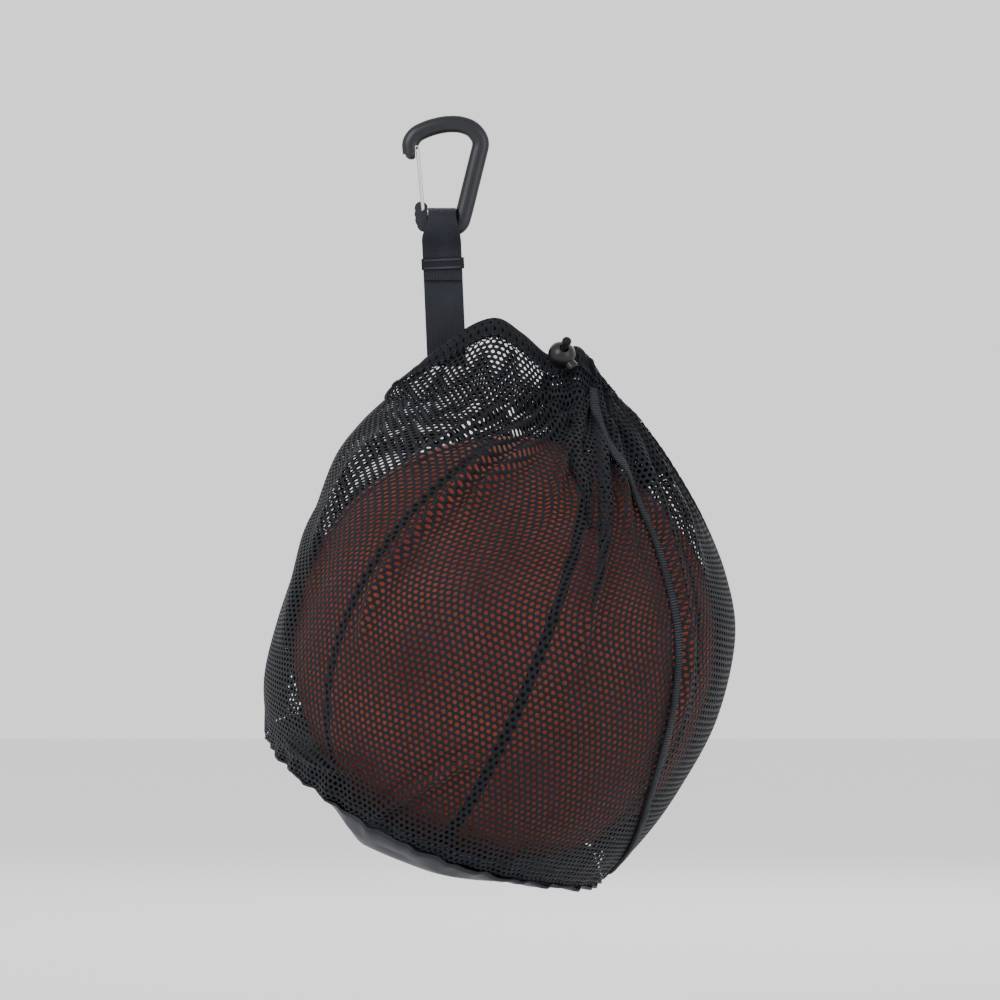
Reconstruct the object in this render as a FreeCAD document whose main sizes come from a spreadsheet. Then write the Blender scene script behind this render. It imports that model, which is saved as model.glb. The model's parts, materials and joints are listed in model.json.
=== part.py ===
import FreeCAD, Part
import math
import os

# Mesh ball bag with a basketball in it, hung from a wire-gate carabiner.
# Millimetres, +Z up, -Y is the front. The origin is the hang point: the middle of the
# carabiner's inner top edge, where a hook or a rail carries the load.

V = FreeCAD.Vector
doc = FreeCAD.newDocument("MeshBallBag")
sheet = doc.addObject("Spreadsheet::Sheet", "Sizes")

SIZES = [
    ("ballRadius", 119.0),
    ("panelThick", 1.6),
    ("carcassThick", 0.9),
    ("bladderThick", 0.6),
    ("plyGap", 0.05),
    ("channelWide", 6.0),
    ("channelRise", 0.8),
    ("earLong", 105.0),
    ("earShort", 65.0),
    ("netThick", 1.2),
    ("ringRadius", 102.6),
    ("baseThick", 1.4),
    ("baseBulge", 27.0),
    ("bindRadius", 1.6),
    ("hemHalfThick", 2.8),
    ("hemVoidHalf", 2.0),
    ("hemHalfDepth", 6.8),
    ("cordRadius", 1.1),
    ("cordSpread", 1.15),
    ("cordRoom", 0.4),
    ("frameHalfWide", 4.8),
    ("frameHalfDeep", 3.5),
    ("eyeHalfDeep", 2.4),
    ("wireRadius", 1.0),
    ("pivotHoleRadius", 1.06),
    ("gateHalfWide", 3.7),
    ("webWide", 21.6),
    ("webThick", 1.6),
    ("webLoopInner", 7.2),
    ("lockRadius", 7.75),
    ("buttonRadius", 3.4),
    ("buttonFit", 0.08),
    ("buttonProud", 3.2),
    ("buttonTravel", 2.5),
    ("cordHoleRadius", 2.6),
    ("springRadius", 2.3),
    ("springWire", 0.28),
    ("valveRadius", 3.0),
]
for row, (name, value) in enumerate(SIZES, start=1):
    sheet.set("A%d" % row, name)
    sheet.set("B%d" % row, str(value))
    sheet.setAlias("B%d" % row, name)
doc.recompute()

# Places that belong together and are not single sizes.
ballCentre = V(29.8, 0.0, -289.4)
ringCentre = V(-9.6, 21.7, -378.0)
bagAxis = V(0.4124, -0.2181, 0.8845).normalize()
ballX = V(0.92, 0.155, -0.36).normalize()
ballFront = V(0.065, -0.977, -0.2)
strapPivot = V(-6.3, 0.0, -52.0)
strapRoot = V(-3.9, 0.0, -106.0)
gatePivot = V(-16.2, 0.0, -43.5)
lockCentre = V(61.5, -30.5, -125.3)
cordWay = V(0.18, -0.845, 0.50).normalize()
strandTip = 12.4
buttonWay = V(0.632, -0.29, -0.718)
buttonWay = (buttonWay - cordWay * buttonWay.dot(cordWay)).normalize()

nodes = []


def size(name):
    """One driving size from the sheet."""
    return float(sheet.get(name))


def node(obj, label):
    """Marks an object as a finished piece, under its own name."""
    obj.Label = label
    nodes.append(obj)
    return obj


def bound(kind, name, place=None, **sizes):
    """A primitive whose properties are bound to expressions on the sheet."""
    obj = doc.addObject(kind, name)
    for prop, text in sizes.items():
        obj.setExpression(prop, text)
    obj.Placement = place or FreeCAD.Placement()
    return obj


def along(point, way):
    """A placement at point, with its Z axis along way."""
    return FreeCAD.Placement(point, FreeCAD.Rotation(V(0, 0, 1), way))


def cut(name, base, tool):
    obj = doc.addObject("Part::Cut", name)
    obj.Base = base
    obj.Tool = tool
    return obj


def fuse(name, shapes):
    obj = doc.addObject("Part::MultiFuse", name)
    obj.Shapes = shapes
    return obj


def common(name, shapes):
    obj = doc.addObject("Part::MultiCommon", name)
    obj.Shapes = shapes
    return obj


def feature(name, shape):
    """A piece that only a shape built point by point can give."""
    obj = doc.addObject("Part::Feature", name)
    obj.Shape = shape
    return obj


def roundedPath(points, closed=False, share=0.45):
    """Straight runs joined by tangent arcs, each as large as its two runs allow."""
    count = len(points)
    corners = range(count) if closed else range(1, count - 1)
    starts, ends, arcs = {}, {}, {}
    for i in corners:
        here = points[i]
        back = points[i - 1] - here
        ahead = points[(i + 1) % count] - here
        turn = math.pi - back.getAngle(ahead)
        reach = share * min(back.Length, ahead.Length)
        radius = reach / math.tan(turn / 2)
        inward = (back.normalize() + ahead.normalize()).normalize()
        middle = here + inward * (radius / math.cos(turn / 2) - radius)
        starts[i] = here + back * reach
        ends[i] = here + ahead * reach
        arcs[i] = Part.Arc(starts[i], middle, ends[i]).toShape()
    edges = []
    for i in range(count if closed else count - 1):
        j = (i + 1) % count
        a = ends.get(i, points[i])
        b = starts.get(j, points[j])
        edges.append(Part.LineSegment(a, b).toShape())
        if j in arcs:
            edges.append(arcs[j])
    return Part.Wire(edges)


def tube(path, radius):
    """A round bar along a path of runs and arcs."""
    edge = path.OrderedEdges[0]
    start = edge.valueAt(edge.FirstParameter)
    way = edge.tangentAt(edge.FirstParameter)
    ring = Part.Wire(Part.makeCircle(radius, start, way))
    shape = path.makePipeShell([ring], True, False)
    expected = math.pi * radius**2 * path.Length
    if abs(shape.Volume - expected) > 0.03 * expected:
        raise ValueError("tube volume %.1f, expected %.1f" % (shape.Volume, expected))
    return shape


# ---------------------------------------------------------------- bag surface
# Each level of the bag has its left and right edge (x, z), half its depth and where its
# middle lies front to back. Level 0 is the base ring, level 1 the top of the hem.
LEVELS = [
    (0.00, (-102.6, -334.4), (83.3, -421.5), 102.6, 21.7),
    (0.09, (-105.0, -321.0), (107.0, -398.0), 112.0, 15.0),
    (0.20, (-105.0, -302.0), (129.0, -367.0), 120.5, 9.0),
    (0.33, (-98.5, -275.0), (149.0, -329.0), 123.8, 4.0),
    (0.47, (-87.0, -241.0), (159.0, -284.0), 123.6, 0.0),
    (0.60, (-76.0, -209.0), (154.0, -249.0), 112.0, -2.0),
    (0.72, (-65.0, -181.0), (141.0, -218.0), 91.0, -4.0),
    (0.82, (-51.0, -163.0), (121.0, -186.0), 63.0, -7.0),
    (0.90, (-37.0, -150.0), (101.0, -160.0), 33.0, -10.0),
]
HEM_TOP = [
    (-33.0, -140.5),
    (-24.0, -135.5),
    (-13.6, -126.3),
    (7.4, -110.2),
    (25.1, -104.1),
    (40.0, -113.0),
    (56.0, -125.5),
    (70.3, -119.5),
    (78.0, -132.0),
    (84.5, -142.5),
    (94.0, -147.5),
]
HEM_TALL = 12.0
HEM_LEVEL = 0.945
HEM_Y = -12.0
HEM_END = 0.22
LEAN_UNTIL = 0.45

hemLine = Part.BSplineCurve()
hemLine.interpolate([V(x, 0, z) for x, z in HEM_TOP])


def ease(k):
    """A smooth step from 0 to 1."""
    k = min(1.0, max(0.0, k))
    return k * k * (3 - 2 * k)


def hemPoint(share, drop):
    """A point of the hem, drop below its top edge; the band is narrower at both ends."""
    first, last = hemLine.FirstParameter, hemLine.LastParameter
    spot = hemLine.value(first + (last - first) * share)
    narrow = ease((HEM_END - share) / HEM_END) + ease((share - 1 + HEM_END) / HEM_END)
    return V(spot.x, HEM_Y, spot.z - drop * (1 - 0.35 * narrow))


def blendLevels(level):
    """The edges, half depth and middle of the bag at any level, on smooth curves."""
    rows = [(k[0], k[1][0], k[1][1], k[2][0], k[2][1], k[3], k[4]) for k in LEVELS]
    i = max(0, min(len(rows) - 2, sum(1 for k in rows if k[0] <= level) - 1))

    def slope(j, c):
        low, high = rows[max(0, j - 1)], rows[min(len(rows) - 1, j + 1)]
        return (high[c] - low[c]) / (high[0] - low[0])

    span = rows[i + 1][0] - rows[i][0]
    k = (level - rows[i][0]) / span
    curve = []
    for c in range(1, 7):
        a, b = rows[i][c], rows[i + 1][c]
        ma, mb = slope(i, c) * span, slope(i + 1, c) * span
        curve.append(a + k * (ma + k * (3 * (b - a) - 2 * ma - mb + k * (2 * (a - b) + ma + mb))))
    return (curve[0], curve[1]), (curve[2], curve[3]), curve[4], curve[5]


def bagPoint(turn, level, inset=0.0):
    """A point of the bag's outer face, turn round from the right edge through the rear."""
    c, s = math.cos(turn), math.sin(turn)
    neck = LEVELS[-1][0]
    left, right, depth, middle = blendLevels(min(level, neck))
    a = V(left[0], middle, left[1])
    b = V(right[0], middle, right[1])
    half = (b - a) * 0.5
    wide = half.Length
    lean = max(0.0, 1.0 - level / LEAN_UNTIL)
    rear = V(0.0922 * lean, 1.0 - 0.0241 * lean, 0.1977 * lean).normalize()
    low = (a + b) * 0.5 + half * (c * (wide - inset) / wide) + rear * (s * (depth - inset))
    if level <= neck:
        return low
    drop = HEM_TALL * max(0.0, 1.0 - level) / (1.0 - HEM_LEVEL)
    trim = inset / 60.0
    spot = hemPoint(0.5 + 0.5 * c * (1.0 - trim), drop)
    round_ = math.copysign(abs(s) ** 0.6, s)
    top = spot + V(0, round_ * (size("hemHalfDepth") + size("hemHalfThick") - inset), 0)
    k = ease((level - neck) / (HEM_LEVEL - neck))
    return low * (1 - k) + top * k


def halfRing(level, inset, start, count=18):
    """Half of the bag's outline at one level, its points closest at the sharp side ends."""
    turns = [math.pi * (0.5 - 0.5 * math.cos(math.pi * i / count)) for i in range(count + 1)]
    points = [bagPoint(start + turn, level, inset) for turn in turns]
    curve = Part.BSplineCurve()
    curve.interpolate(points)
    return Part.Wire(curve.toShape())


def sleeve(levels, outerInset, innerInset):
    """A closed wall all the way round the bag, made of a rear half and a front half."""
    faces = []
    for start in (0, math.pi):
        outer = [halfRing(k, outerInset, start) for k in levels]
        inner = [halfRing(k, innerInset, start) for k in levels]
        faces += Part.makeLoft(outer, False, True).Faces
        faces += Part.makeLoft(inner, False, True).Faces
        for end in (0, -1):
            faces.append(Part.makeRuledSurface(outer[end].Edges[0], inner[end].Edges[0]))
    shell = Part.makeShell(faces)
    shell.sewShape()
    solid = Part.makeSolid(shell)
    if solid.Volume < 0:
        solid.reverse()
    return solid


def surfaceFrame(turn, level, lift):
    """A point lifted off the bag, with the directions up the bag and outwards."""
    step = 0.01
    spot = bagPoint(turn, level)
    up = (bagPoint(turn, min(1.0, level + step)) - bagPoint(turn, level - step)).normalize()
    side = (bagPoint(turn + step, level) - bagPoint(turn - step, level)).normalize()
    out = side.cross(up).normalize()
    return spot + out * lift, up, side, out


def stitch(spot, way, out, long, radius=0.35):
    """One thread stitch: a short bar lying along the cloth."""
    return Part.makeCylinder(radius, long, spot - way * (long / 2) + out * radius, way)


def buildNet():
    start, end, steps = 0.004, HEM_LEVEL - 0.008, 28
    levels = [start + (end - start) * k / steps for k in range(steps + 1)]
    node(feature("MeshTube", sleeve(levels, 0.0, size("netThick"))), "mesh_tube")


def buildHem():
    """A doubled hem with a hollow for the cord, and an outlet to the lock."""
    half = size("hemHalfThick")
    gap = half - size("hemVoidHalf")
    band = sleeve([HEM_LEVEL, 0.965, 0.982, 1.0], 0.0, 2 * half)
    hollow = sleeve([HEM_LEVEL + 0.006, 0.965, 0.982, 0.994], gap, 2 * half - gap)
    body = band.cut(hollow)
    points = cordPoints()
    for strand in (points[:5], points[-5:]):
        body = body.cut(tube(roundedPath(strand), size("cordRadius") + size("cordRoom")))
    node(feature("HemChannel", body), "hem_channel")


def cordPoints():
    """The drawcord's way: out of the lock, once round inside the hem and back to it."""
    side = cordWay.cross(buttonWay).normalize() * size("cordSpread")
    entry = lockCentre - cordWay * 13.8
    tip = lockCentre + cordWay * strandTip
    half = size("hemHalfThick")
    steps = 720
    rounds = [math.pi + math.pi * k / steps for k in range(steps)]
    outlet = min(rounds, key=lambda k: (bagPoint(k, 0.973, half) - entry).Length)
    count = 56
    before, after = 0.30, 0.16
    sweep = 2 * math.pi - before - after
    ring = [bagPoint(outlet + before + sweep * k / count, 0.973, half) for k in range(count + 1)]
    if (ring[0] - (entry + side)).Length > (ring[0] - (entry - side)).Length:
        side = -side
    return [tip + side, entry + side] + ring + [entry - side, tip - side]


def buildCord():
    node(feature("Drawcord", tube(roundedPath(cordPoints()), size("cordRadius"))), "drawcord")


def buildKnot():
    """The knot that stops the lock: it sits flat on the ends of both strands."""
    centre = lockCentre + cordWay * (strandTip + 2.1)
    knot = bound("Part::Sphere", "CordKnot", along(centre, cordWay),
                 Radius="Sizes.cordRadius * 2.4")
    seat = bound("Part::Cylinder", "KnotSeat", along(lockCentre + cordWay * 8, cordWay),
                 Radius="5", Height="%s - 8 + Sizes.plyGap" % strandTip)
    node(cut("KnotCut", knot, seat), "drawcord_knot")


# The side seam's line up the front right of the bag: level and degrees round it.
SIDE_SEAM = [(0.045, -10), (0.09, -18), (0.18, -29), (0.28, -36), (0.38, -40), (0.48, -44),
             (0.58, -47), (0.68, -49), (0.78, -51), (0.86, -50)]


def sideSeam(steps):
    """Stations up the side seam, with so many steps between its listed points."""
    stations = []
    for (a, da), (b, db) in zip(SIDE_SEAM, SIDE_SEAM[1:]):
        for k in range(steps):
            share = (k + 0.5) / steps
            stations.append((a + (b - a) * share, math.radians(da + (db - da) * share)))
    return stations


def buildNetSeam():
    """The bound side seam with its stitching."""
    wide, thick, lift = 5.0, 1.2, 0.35
    edges = ((-1, 0), (1, 0), (1, 1), (-1, 1), (-1, 0))
    sections, stitches = [], []
    for level, turn in sideSeam(4):
        spot, up, side, out = surfaceFrame(turn, level, lift)
        corners = [spot + side * (i * wide / 2) + out * (j * thick) for i, j in edges]
        sections.append(Part.makePolygon(corners))
    for level, turn in sideSeam(6):
        spot, up, side, out = surfaceFrame(turn, level, lift + thick + 0.2)
        stitches.append(stitch(spot, up, out, 3.0))
    node(feature("SideSeamBinding", Part.makeLoft(sections, True, True)), "side_seam_binding")
    node(feature("SideSeamStitches", Part.makeCompound(stitches)), "side_seam_stitches")


def originPlane(body, role):
    return [f for f in body.Origin.OriginFeatures if f.Role == role][0]


def sketchOn(body, role, name, edges):
    """A sketch of plain edges on one of the body's own planes."""
    sketch = body.newObject("Sketcher::SketchObject", name)
    sketch.AttachmentSupport = [(originPlane(body, role), "")]
    sketch.MapMode = "FlatFace"
    for edge in edges:
        sketch.addGeometry(edge, False)
    return sketch


def outline(points):
    """Straight edges round a closed outline, in a sketch's own plane."""
    corners = [V(x, y, 0) for x, y in points]
    return [Part.LineSegment(a, b) for a, b in zip(corners, corners[1:] + corners[:1])]


def buildBase():
    """The round base: a dished panel of coated cloth that the ball fills out."""
    body = doc.addObject("PartDesign::Body", "BasePanel")
    rim, bulge, thick = size("ringRadius") - 0.2, size("baseBulge"), size("baseThick")
    share, lip = 0.55, 0.4
    edges = []
    for radius, drop in ((rim, bulge), (rim - thick, bulge - thick)):
        middle = V(radius * share, -lip - (drop - lip) * (1 - share**2), 0)
        edges.append(Part.Arc(V(0, -drop, 0), middle, V(radius, -lip, 0)))
    edges.append(Part.LineSegment(V(rim, -lip, 0), V(rim - thick, -lip, 0)))
    edges.append(Part.LineSegment(V(0, -bulge, 0), V(0, thick - bulge, 0)))
    sketch = sketchOn(body, "XZ_Plane", "BaseProfile", edges)
    turned = body.newObject("PartDesign::Revolution", "BaseTurned")
    turned.Profile = sketch
    turned.ReferenceAxis = (sketch, ["V_Axis"])
    turned.Angle = 360.0
    body.Placement = along(ringCentre, bagAxis)
    node(body, "base_panel")


def buildBaseSeam():
    """The bound seam inside the rim of the base, and the stitches through it."""
    place = along(ringCentre + bagAxis * 2.4, bagAxis)
    binding = bound("Part::Torus", "BaseBinding", place,
                    Radius1="Sizes.ringRadius - Sizes.netThick - Sizes.bindRadius - 1.4",
                    Radius2="Sizes.bindRadius")
    node(binding, "base_seam_binding")
    count = 96
    stitches = []
    for k in range(count):
        spot, up, side, out = surfaceFrame(2 * math.pi * k / count, 0.03, 0.35)
        stitches.append(stitch(spot, side, out, 4.0))
    node(feature("BaseStitches", Part.makeCompound(stitches)), "base_seam_stitches")


def buildHemStitches():
    count = 44
    stitches = []
    for k in range(count):
        spot, up, side, out = surfaceFrame(2 * math.pi * k / count, 0.956, 0.45)
        stitches.append(stitch(spot, side, out, 2.4))
    node(feature("HemStitches", Part.makeCompound(stitches)), "hem_stitches")


# ---------------------------------------------------------------- carabiner
FRAME_LINE = [
    (-22.9, -11.6),
    (-23.6, -5.4),
    (-20.2, -0.6),
    (-12.8, 2.8),
    (-4.0, 5.0),
    (4.6, 5.0),
    (11.9, 2.4),
    (16.8, -4.6),
    (12.1, -23.5),
    (7.3, -43.0),
    (4.9, -51.6),
    (-1.0, -54.4),
    (-8.0, -53.0),
    (-15.0, -50.6),
]
EYE = [(-17.3, -42.3, 3.7), (-17.3, -45.6, 3.75), (-16.6, -49.0, 4.1), (-15.4, -51.4, 4.3)]
NOTCH = ((-20.6, -6.0, -22.0), (8.0, 12.0, 14.8))


def sweepAlong(name, path, radii, up):
    """A solid bar along a path: an oval section carried along it by Part's sweep."""
    spine = feature(name + "Line", path)
    first = path.OrderedEdges[0]
    way = first.tangentAt(first.FirstParameter)
    start = first.valueAt(first.FirstParameter)
    turn = FreeCAD.Rotation(way.cross(up), up, way, "ZXY")
    section = bound("Part::Ellipse", name + "Section", FreeCAD.Placement(start, turn),
                    MajorRadius=radii[0], MinorRadius=radii[1])
    doc.recompute()
    bar = doc.addObject("Part::Sweep", name + "Bar")
    bar.Sections = [section]
    bar.Spine = (spine, ["Edge%d" % (k + 1) for k in range(len(path.Edges))])
    bar.Solid = True
    bar.Frenet = False
    return bar


def buildCarabiner():
    """An offset-D frame: oval bar, rounded nose, and a flat eye that holds the gate."""
    path = roundedPath([V(x, 0, z) for x, z in FRAME_LINE])
    bar = sweepAlong("Frame", path, ("Sizes.frameHalfWide", "Sizes.frameHalfDeep"), V(0, 1, 0))
    nose = bound("Part::Sphere", "FrameNose", FreeCAD.Placement(V(-22.9, 0, -11.6), turnless),
                 Radius="Sizes.frameHalfDeep")
    lug = [nose]
    for k, (x, z, radius) in enumerate(EYE):
        spot = along(V(x, -size("eyeHalfDeep"), z), V(0, 1, 0))
        lug.append(bound("Part::Cylinder", "GateEye%d" % k, spot, Radius=str(radius),
                         Height="2 * Sizes.eyeHalfDeep"))
    whole = fuse("FrameWhole", [bar] + lug)
    corner, spans = NOTCH
    notch = bound("Part::Box", "NoseNotch", FreeCAD.Placement(V(*corner), turnless),
                  Length=str(spans[0]), Width=str(spans[1]), Height=str(spans[2]))
    hole = bound("Part::Cylinder", "PivotHole", along(gatePivot - V(0, 6, 0), V(0, 1, 0)),
                 Radius="Sizes.pivotHoleRadius", Height="12")
    node(cut("CarabinerBody", whole, fuse("FrameCuts", [notch, hole])), "carabiner_body")


def buildGate():
    """One bent wire: both ends turn into the eye, and its bow closes on the nose."""
    half, end = size("gateHalfWide"), 1.1
    top = V(-19.4, 0, -8.6)
    low = gatePivot
    side = [low + V(0, end, 0), low + V(0, half, 0), top + V(0, half * 0.62, 0)]
    other = [V(p.x, -p.y, p.z) for p in reversed(side)]
    path = roundedPath(side + other)
    wire = sweepAlong("Gate", path, ("Sizes.wireRadius", "Sizes.wireRadius"), V(1, 0, 0))
    node(wire, "carabiner_gate_wire")


# ---------------------------------------------------------------- strap
def buildStrap():
    """Webbing folded round the carabiner's lower bar and sewn to itself below it."""
    body = doc.addObject("PartDesign::Body", "StrapWebbing")
    inner, thick = size("webLoopInner"), size("webThick")
    outer = inner + thick
    eyeTop, straight, close, foot = 1.2, -3.5, -17.8, -53.5
    ply = thick + 0.05

    def loop(radius, lowest, half):
        top = Part.Arc(V(radius, eyeTop, 0), V(0, eyeTop + radius, 0), V(-radius, eyeTop, 0))
        left = [V(-radius, eyeTop, 0), V(-radius, straight, 0), V(-half, lowest, 0)]
        right = [V(p.x * -1, p.y, 0) for p in reversed(left)]
        runs = [Part.LineSegment(a, b) for a, b in zip(left, left[1:])]
        runs += [Part.LineSegment(a, b) for a, b in zip(right, right[1:])]
        return [top] + runs

    rim = loop(outer, close, ply)
    rim.append(Part.LineSegment(V(-ply, close, 0), V(-ply, foot + ply, 0)))
    rim.append(Part.Arc(V(-ply, foot + ply, 0), V(0, foot, 0), V(ply, foot + ply, 0)))
    rim.append(Part.LineSegment(V(ply, foot + ply, 0), V(ply, close, 0)))
    hole = loop(inner, close + 1.5, 0.1)
    hole.append(Part.LineSegment(V(-0.1, close + 1.5, 0), V(0.1, close + 1.5, 0)))
    sketch = sketchOn(body, "YZ_Plane", "StrapProfile", rim + hole)
    pad = body.newObject("PartDesign::Pad", "StrapPad")
    pad.Profile = sketch
    pad.setExpression("Length", "Sizes.webWide")
    pad.Midplane = True
    wide = size("webWide") / 2 + 1
    left = outline([(-wide, 11), (-6.4, 11), (-6.4, 1.6), (1 - wide, -5), (-wide, -5)])
    right = outline([(wide, 11), (8.0, 11), (8.0, 1.6), (wide - 1, -5), (wide, -5)])
    trim = sketchOn(body, "XZ_Plane", "NeckTrim", left + right)
    pocket = body.newObject("PartDesign::Pocket", "StrapNeck")
    pocket.Profile = trim
    pocket.Type = "ThroughAll"
    pocket.Midplane = True
    body.Placement = FreeCAD.Placement(strapPivot, strapTurn)
    node(body, "strap_webbing")


def strapBox(name, spot, spans):
    """A box on the strap, from the strap's own frame into the bag's."""
    place = FreeCAD.Placement(strapPivot, strapTurn).multiply(
        FreeCAD.Placement(V(*spot) - V(*spans) * 0.5, turnless))
    return bound("Part::Box", name, place,
                 Length=str(spans[0]), Width=str(spans[1]), Height=str(spans[2]))


def buildStrapFold():
    """A folded cross tape over the sewn joint, and its bar tacks."""
    ply = size("webThick") + 0.05
    wide = size("webWide")
    level = -21.6
    tape = strapBox("FoldTape", (0.2, -ply - 0.65, level), (wide + 2.4, 1.1, 6.4))
    node(tape, "strap_fold_tape")
    tacks = []
    for k, row in enumerate((-2.2, 2.2)):
        tacks.append(strapBox("FrontTack%d" % k, (0, -ply - 1.5, level + row), (wide - 1, 0.4, 1.1)))
        tacks.append(strapBox("RearTack%d" % k, (0, ply + 0.3, level + row), (wide - 1, 0.4, 1.1)))
    node(fuse("BarTacks", tacks), "strap_bartacks")


def buildStrapTab():
    """The strap's sewn end on the rear of the hem, with a box of stitches."""
    body = doc.addObject("PartDesign::Body", "StrapTab")
    half = size("webThick")
    left, right = -14.7, 7.0
    top = strapRoot.z - 0.5
    round_ = Part.Arc(V(-half, top - half, 0), V(0, top, 0), V(half, top - half, 0))
    foot = -140.0
    sides = [V(half, top - half, 0), V(half, foot, 0), V(-half, foot, 0), V(-half, top - half, 0)]
    runs = [Part.LineSegment(a, b) for a, b in zip(sides, sides[1:])]
    sketch = sketchOn(body, "YZ_Plane", "TabProfile", [round_] + runs)
    pad = body.newObject("PartDesign::Pad", "TabPad")
    pad.Profile = sketch
    pad.setExpression("Length", "Sizes.webWide")
    pad.Midplane = True
    slant = outline([(-13, -132), (13, -114), (13, -145), (-13, -145)])
    trim = sketchOn(body, "XZ_Plane", "TabTrim", slant)
    pocket = body.newObject("PartDesign::Pocket", "TabEnd")
    pocket.Profile = trim
    pocket.Type = "ThroughAll"
    pocket.Midplane = True
    body.Placement = FreeCAD.Placement(V((left + right) / 2, 0, 0), turnless)
    node(body, "strap_tab")
    stitches = []
    corners = [V(-12.4, 0, -112), V(4.6, 0, -112), V(4.6, 0, -116), V(-12.4, 0, -128)]
    for a, b in zip(corners, corners[1:] + corners[:1]):
        count = max(1, int((b - a).Length / 3.2))
        for k in range(count):
            spot = a + (b - a) * ((k + 0.5) / count) + V(0, half + 0.05, 0)
            stitches.append(stitch(spot, (b - a).normalize(), V(0, 1, 0), 2.4))
    node(feature("TabStitches", Part.makeCompound(stitches)), "strap_box_stitch")


# ---------------------------------------------------------------- cord lock
def buildLock():
    """A ball-shaped cord lock: body, sprung button and the spring under it."""
    ball = bound("Part::Sphere", "LockBall", along(lockCentre, buttonWay),
                 Radius="Sizes.lockRadius")
    bore = bound("Part::Cylinder", "LockBore", along(lockCentre - buttonWay * 5.6, buttonWay),
                 Radius="Sizes.buttonRadius + Sizes.buttonFit", Height="20")
    cords = bound("Part::Cylinder", "LockCordHole", along(lockCentre - cordWay * 10, cordWay),
                  Radius="Sizes.cordHoleRadius", Height="20")
    node(cut("LockBody", ball, fuse("LockHoles", [bore, cords])), "cord_lock_body")

    back = 2.3
    button = bound("Part::Cylinder", "Button", along(lockCentre - buttonWay * back, buttonWay),
                   Radius="Sizes.buttonRadius",
                   Height="Sizes.lockRadius + Sizes.buttonProud + %s" % back)
    doc.recompute()
    rims = [k for k, edge in enumerate(button.Shape.Edges, start=1)
            if edge.BoundBox.Center.sub(lockCentre).dot(buttonWay) > size("lockRadius")
            and edge.isClosed()]
    crown = doc.addObject("Part::Fillet", "ButtonCrown")
    crown.Base = button
    crown.Edges = [(rims[0], 0.9, 0.9)]
    room = 1.3
    slotTurn = FreeCAD.Rotation(cordWay.cross(buttonWay), cordWay, buttonWay, "ZYX")
    corner = FreeCAD.Placement(lockCentre, slotTurn).multVec(V(-2.5, -8, -room))
    slot = bound("Part::Box", "ButtonSlot", FreeCAD.Placement(corner, slotTurn),
                 Length="5.0", Width="16", Height="Sizes.buttonTravel + 2 * %s" % room)
    node(cut("LockButton", crown, slot), "cord_lock_button")

    coil = bound("Part::Helix", "SpringLine", along(lockCentre - buttonWay * 5.25, buttonWay),
                 Radius="Sizes.springRadius", Pitch="0.86", Height="2.6")
    doc.recompute()
    edge = coil.Shape.Edges[0]
    start = edge.valueAt(edge.FirstParameter)
    way = edge.tangentAt(edge.FirstParameter)
    section = bound("Part::Circle", "SpringSection", along(start, way), Radius="Sizes.springWire")
    doc.recompute()
    spring = doc.addObject("Part::Sweep", "LockSpring")
    spring.Sections = [section]
    spring.Spine = (coil, ["Edge1"])
    spring.Solid = True
    spring.Frenet = True
    node(spring, "cord_lock_spring")


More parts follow.
